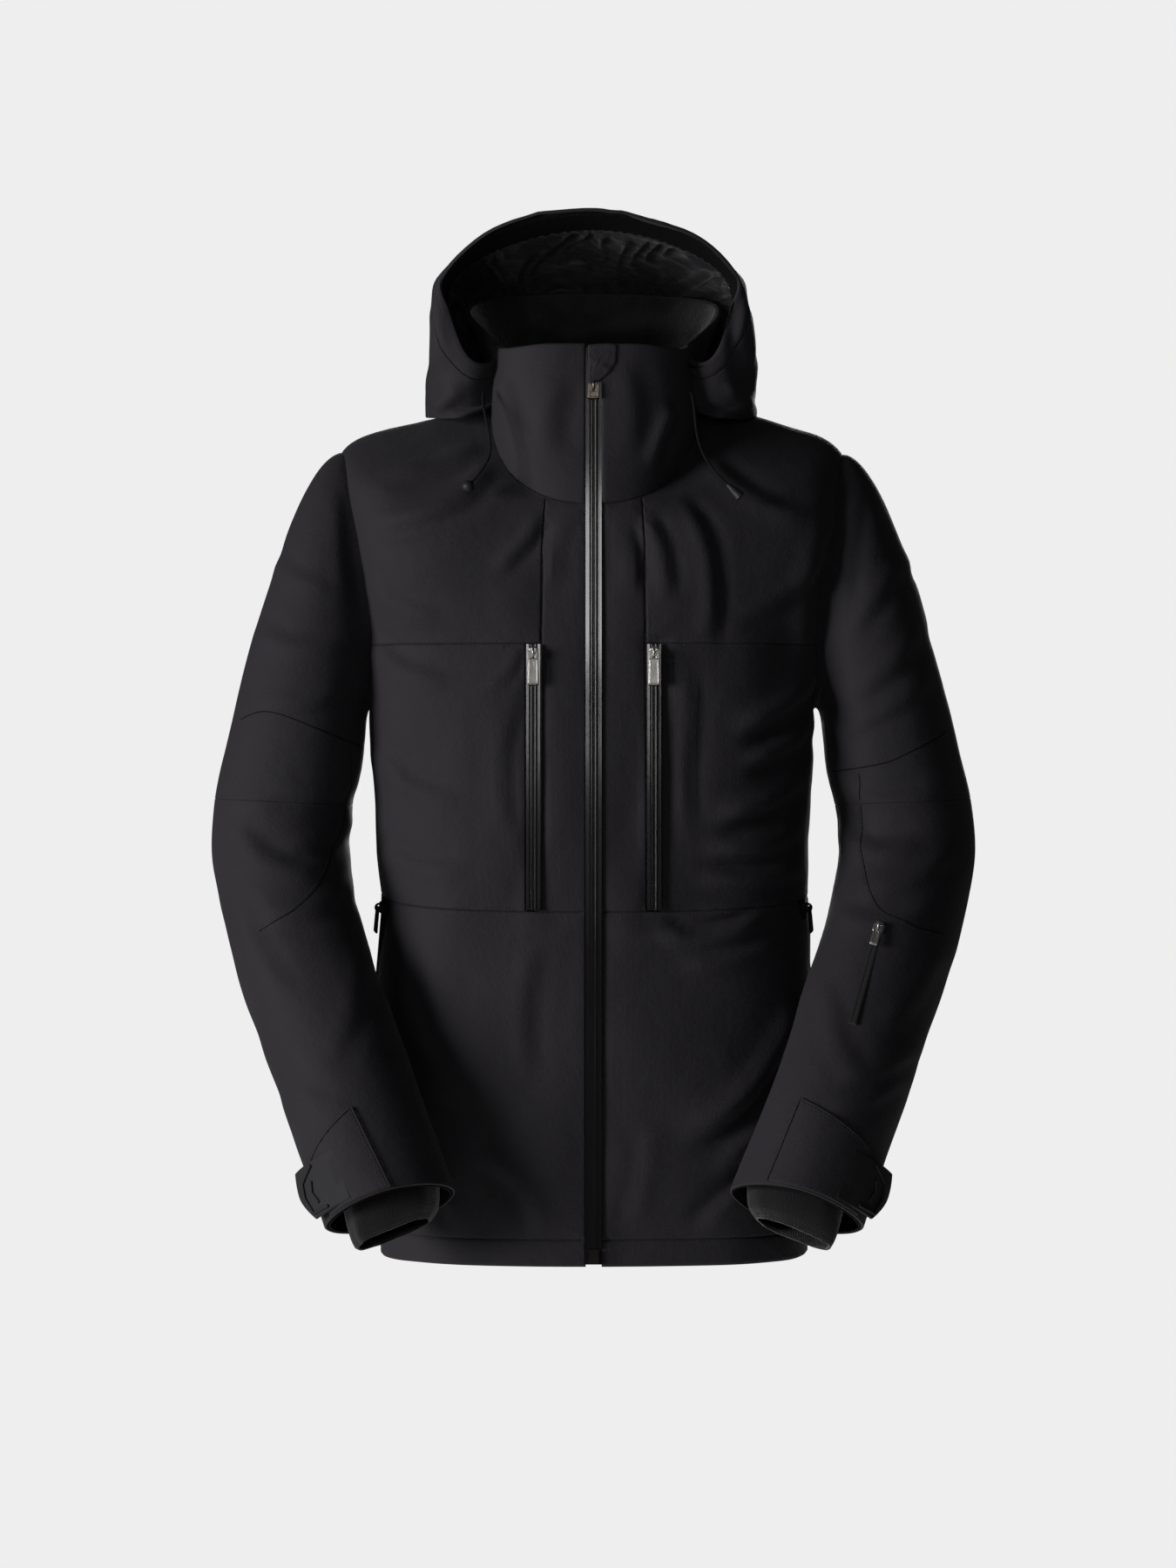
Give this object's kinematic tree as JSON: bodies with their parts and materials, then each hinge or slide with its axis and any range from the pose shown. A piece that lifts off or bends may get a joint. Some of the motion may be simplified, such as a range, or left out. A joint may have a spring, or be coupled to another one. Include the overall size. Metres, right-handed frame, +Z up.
{
  "type": "ski jacket",
  "caption": "Hooded insulated ski jacket with a stand collar, leaning front zips, articulated sleeves, cuff tabs and wrist gaiters.",
  "frame": {"origin": "the top of the hanger loop's opening, at the centre back of the neck", "axes": "+Z up, front towards -Y, +X towards the wearer's left"},
  "size_m": [0.689, 0.3886, 0.9585],
  "materials": {
    "shell_fabric": "matt stretch woven shell fabric, near black",
    "lining": "smooth, slightly shiny woven lining",
    "collar_fleece": "brushed fleece",
    "gaiter_knit": "stretch knit",
    "zip_coil": "glossy laminated coil",
    "main_pull_metal": "warm gunmetal",
    "pull_metal": "satin nickel",
    "cord": "fine braided elastic cord",
    "cord_end_rubber": "moulded soft plastic",
    "tab_rubber": "moulded matt rubber",
    "adjuster_plastic": "moulded plastic",
    "loop_tape": "woven tape"
  },
  "bodies": {
    "torso": {"back_panel": "shell_fabric", "back_yoke": "shell_fabric", "body_lining": "lining", "centre_panel_left": "shell_fabric", "centre_panel_right": "shell_fabric", "chest_left_zip_tape": "zip_coil", "chest_panel_left": "shell_fabric", "chest_panel_right": "shell_fabric", "chest_right_zip_tape": "zip_coil", "collar_back": "collar_fleece", "collar_front_left": "shell_fabric", "collar_front_right": "shell_fabric", "front_yoke_left": "shell_fabric", "front_yoke_right": "shell_fabric", "hand_left_zip_tape": "zip_coil", "hand_right_zip_tape": "zip_coil", "hanger_loop": "loop_tape", "hem_band": "shell_fabric", "lower_front_left": "shell_fabric", "lower_front_right": "shell_fabric", "main_zip_box": "main_pull_metal", "main_zip_tape": "zip_coil", "sleeve_cap_left": "shell_fabric", "sleeve_cap_right": "shell_fabric", "zip_garage": "shell_fabric"},
    "arm_right": {"upper_sleeve_right": "shell_fabric", "elbow_band_right": "shell_fabric"},
    "forearm_right": {"forearm_right": "shell_fabric", "cuff_right": "shell_fabric", "wrist_gaiter_right": "gaiter_knit"},
    "cuff_tab_right": {"cuff_tab_right": "tab_rubber"},
    "arm_left": {"upper_sleeve_left": "shell_fabric", "elbow_band_left": "shell_fabric"},
    "forearm_left": {"forearm_left": "shell_fabric", "cuff_left": "shell_fabric", "wrist_gaiter_left": "gaiter_knit", "sleeve_pocket_zip_tape": "zip_coil"},
    "cuff_tab_left": {"cuff_tab_left": "tab_rubber"},
    "hood": {"cord_end_left": "cord_end_rubber", "cord_end_right": "cord_end_rubber", "hood_brim": "shell_fabric", "hood_cord_left": "cord", "hood_cord_right": "cord", "hood_crown": "shell_fabric", "hood_lining": "lining", "hood_rear_adjuster": "adjuster_plastic", "hood_side_left": "shell_fabric", "hood_side_right": "shell_fabric"},
    "main_slider": {"main_zip_slider": "main_pull_metal"},
    "main_pull": {"main_zip_pull": "main_pull_metal"},
    "chest_right_slider": {"chest_right_zip_slider": "pull_metal"},
    "chest_right_pull": {"chest_right_zip_pull": "pull_metal"},
    "chest_left_slider": {"chest_left_zip_slider": "pull_metal"},
    "chest_left_pull": {"chest_left_zip_pull": "pull_metal"},
    "hand_right_slider": {"hand_right_zip_slider": "pull_metal"},
    "hand_right_pull": {"hand_right_zip_pull": "pull_metal"},
    "hand_left_slider": {"hand_left_zip_slider": "pull_metal"},
    "hand_left_pull": {"hand_left_zip_pull": "pull_metal"},
    "sleeve_pocket_slider": {"sleeve_pocket_zip_slider": "pull_metal"},
    "sleeve_pocket_pull": {"sleeve_pocket_zip_pull": "pull_metal"}
  },
  "joints": [
    {"name": "main_zip_slide", "type": "slide", "parent": "torso", "child": "main_slider", "axis": [0, -0.0618, -0.9981], "range_m": [0, 0.7615]},
    {"name": "main_pull_swing", "type": "hinge", "parent": "main_slider", "child": "main_pull", "pos_m": [0, -0.1773, 0.02052], "axis": [-1, 0, 0], "range_deg": [0, 100]},
    {"name": "chest_right_zip_slide", "type": "slide", "parent": "torso", "child": "chest_right_slider", "axis": [0, -0.0618, -0.9981], "range_m": [0, 0.2215]},
    {"name": "chest_right_pull_swing", "type": "hinge", "parent": "chest_right_slider", "child": "chest_right_pull", "pos_m": [-0.054, -0.19165, -0.21953], "axis": [-1, 0, 0], "range_deg": [0, 150]},
    {"name": "chest_left_zip_slide", "type": "slide", "parent": "torso", "child": "chest_left_slider", "axis": [0, -0.0618, -0.9981], "range_m": [0, 0.2215]},
    {"name": "chest_left_pull_swing", "type": "hinge", "parent": "chest_left_slider", "child": "chest_left_pull", "pos_m": [0.054, -0.19165, -0.21953], "axis": [-1, 0, 0], "range_deg": [0, 150]},
    {"name": "hand_right_zip_slide", "type": "slide", "parent": "torso", "child": "hand_right_slider", "axis": [-0.0964, 0.273, -0.9572], "range_m": [0, 0.1387]},
    {"name": "hand_right_pull_swing", "type": "hinge", "parent": "hand_right_slider", "child": "hand_right_pull", "pos_m": [-0.19561, -0.13501, -0.44874], "axis": [-0.3539, 0.8894, 0.2893], "range_deg": [0, 8]},
    {"name": "hand_left_zip_slide", "type": "slide", "parent": "torso", "child": "hand_left_slider", "axis": [0.0964, 0.273, -0.9572], "range_m": [0, 0.1387]},
    {"name": "hand_left_pull_swing", "type": "hinge", "parent": "hand_left_slider", "child": "hand_left_pull", "pos_m": [0.19561, -0.13501, -0.44874], "axis": [-0.3539, -0.8894, -0.2893], "range_deg": [0, 8]},
    {"name": "sleeve_pocket_zip_slide", "type": "slide", "parent": "forearm_left", "child": "sleeve_pocket_slider", "axis": [-0.2723, -0.4414, -0.855], "range_m": [0, 0.087]},
    {"name": "sleeve_pocket_pull_swing", "type": "hinge", "parent": "sleeve_pocket_slider", "child": "sleeve_pocket_pull", "pos_m": [0.2529, -0.21348, -0.4622], "axis": [-0.962, 0.1432, 0.2325], "range_deg": [0, 150]},
    {"name": "shoulder_right", "type": "hinge", "parent": "torso", "child": "arm_right", "pos_m": [-0.215, -0.075, -0.13], "axis": [0, 1, 0], "range_deg": [0, 40], "deforming": ["sleeve_cap_right"]},
    {"name": "elbow_right", "type": "hinge", "parent": "arm_right", "child": "forearm_right", "pos_m": [-0.287, -0.092, -0.377], "axis": [-1, 0, 0], "range_deg": [0, 32], "deforming": ["elbow_band_right"]},
    {"name": "cuff_tab_right_lift", "type": "hinge", "parent": "forearm_right", "child": "cuff_tab_right", "pos_m": [-0.22069, -0.29951, -0.67476], "axis": [-0.2802, 0.4242, 0.8612], "range_deg": [0, 90]},
    {"name": "shoulder_left", "type": "hinge", "parent": "torso", "child": "arm_left", "pos_m": [0.215, -0.075, -0.13], "axis": [0, -1, 0], "range_deg": [0, 40], "deforming": ["sleeve_cap_left"]},
    {"name": "elbow_left", "type": "hinge", "parent": "arm_left", "child": "forearm_left", "pos_m": [0.287, -0.092, -0.377], "axis": [-1, 0, 0], "range_deg": [0, 32], "deforming": ["elbow_band_left"]},
    {"name": "cuff_tab_left_lift", "type": "hinge", "parent": "forearm_left", "child": "cuff_tab_left", "pos_m": [0.22069, -0.29951, -0.67476], "axis": [-0.2802, -0.4242, -0.8612], "range_deg": [0, 90]},
    {"name": "hood_tilt", "type": "hinge", "parent": "torso", "child": "hood", "pos_m": [0, 0, 0.008], "axis": [-1, 0, 0], "range_deg": [0, 40]}
  ]
}
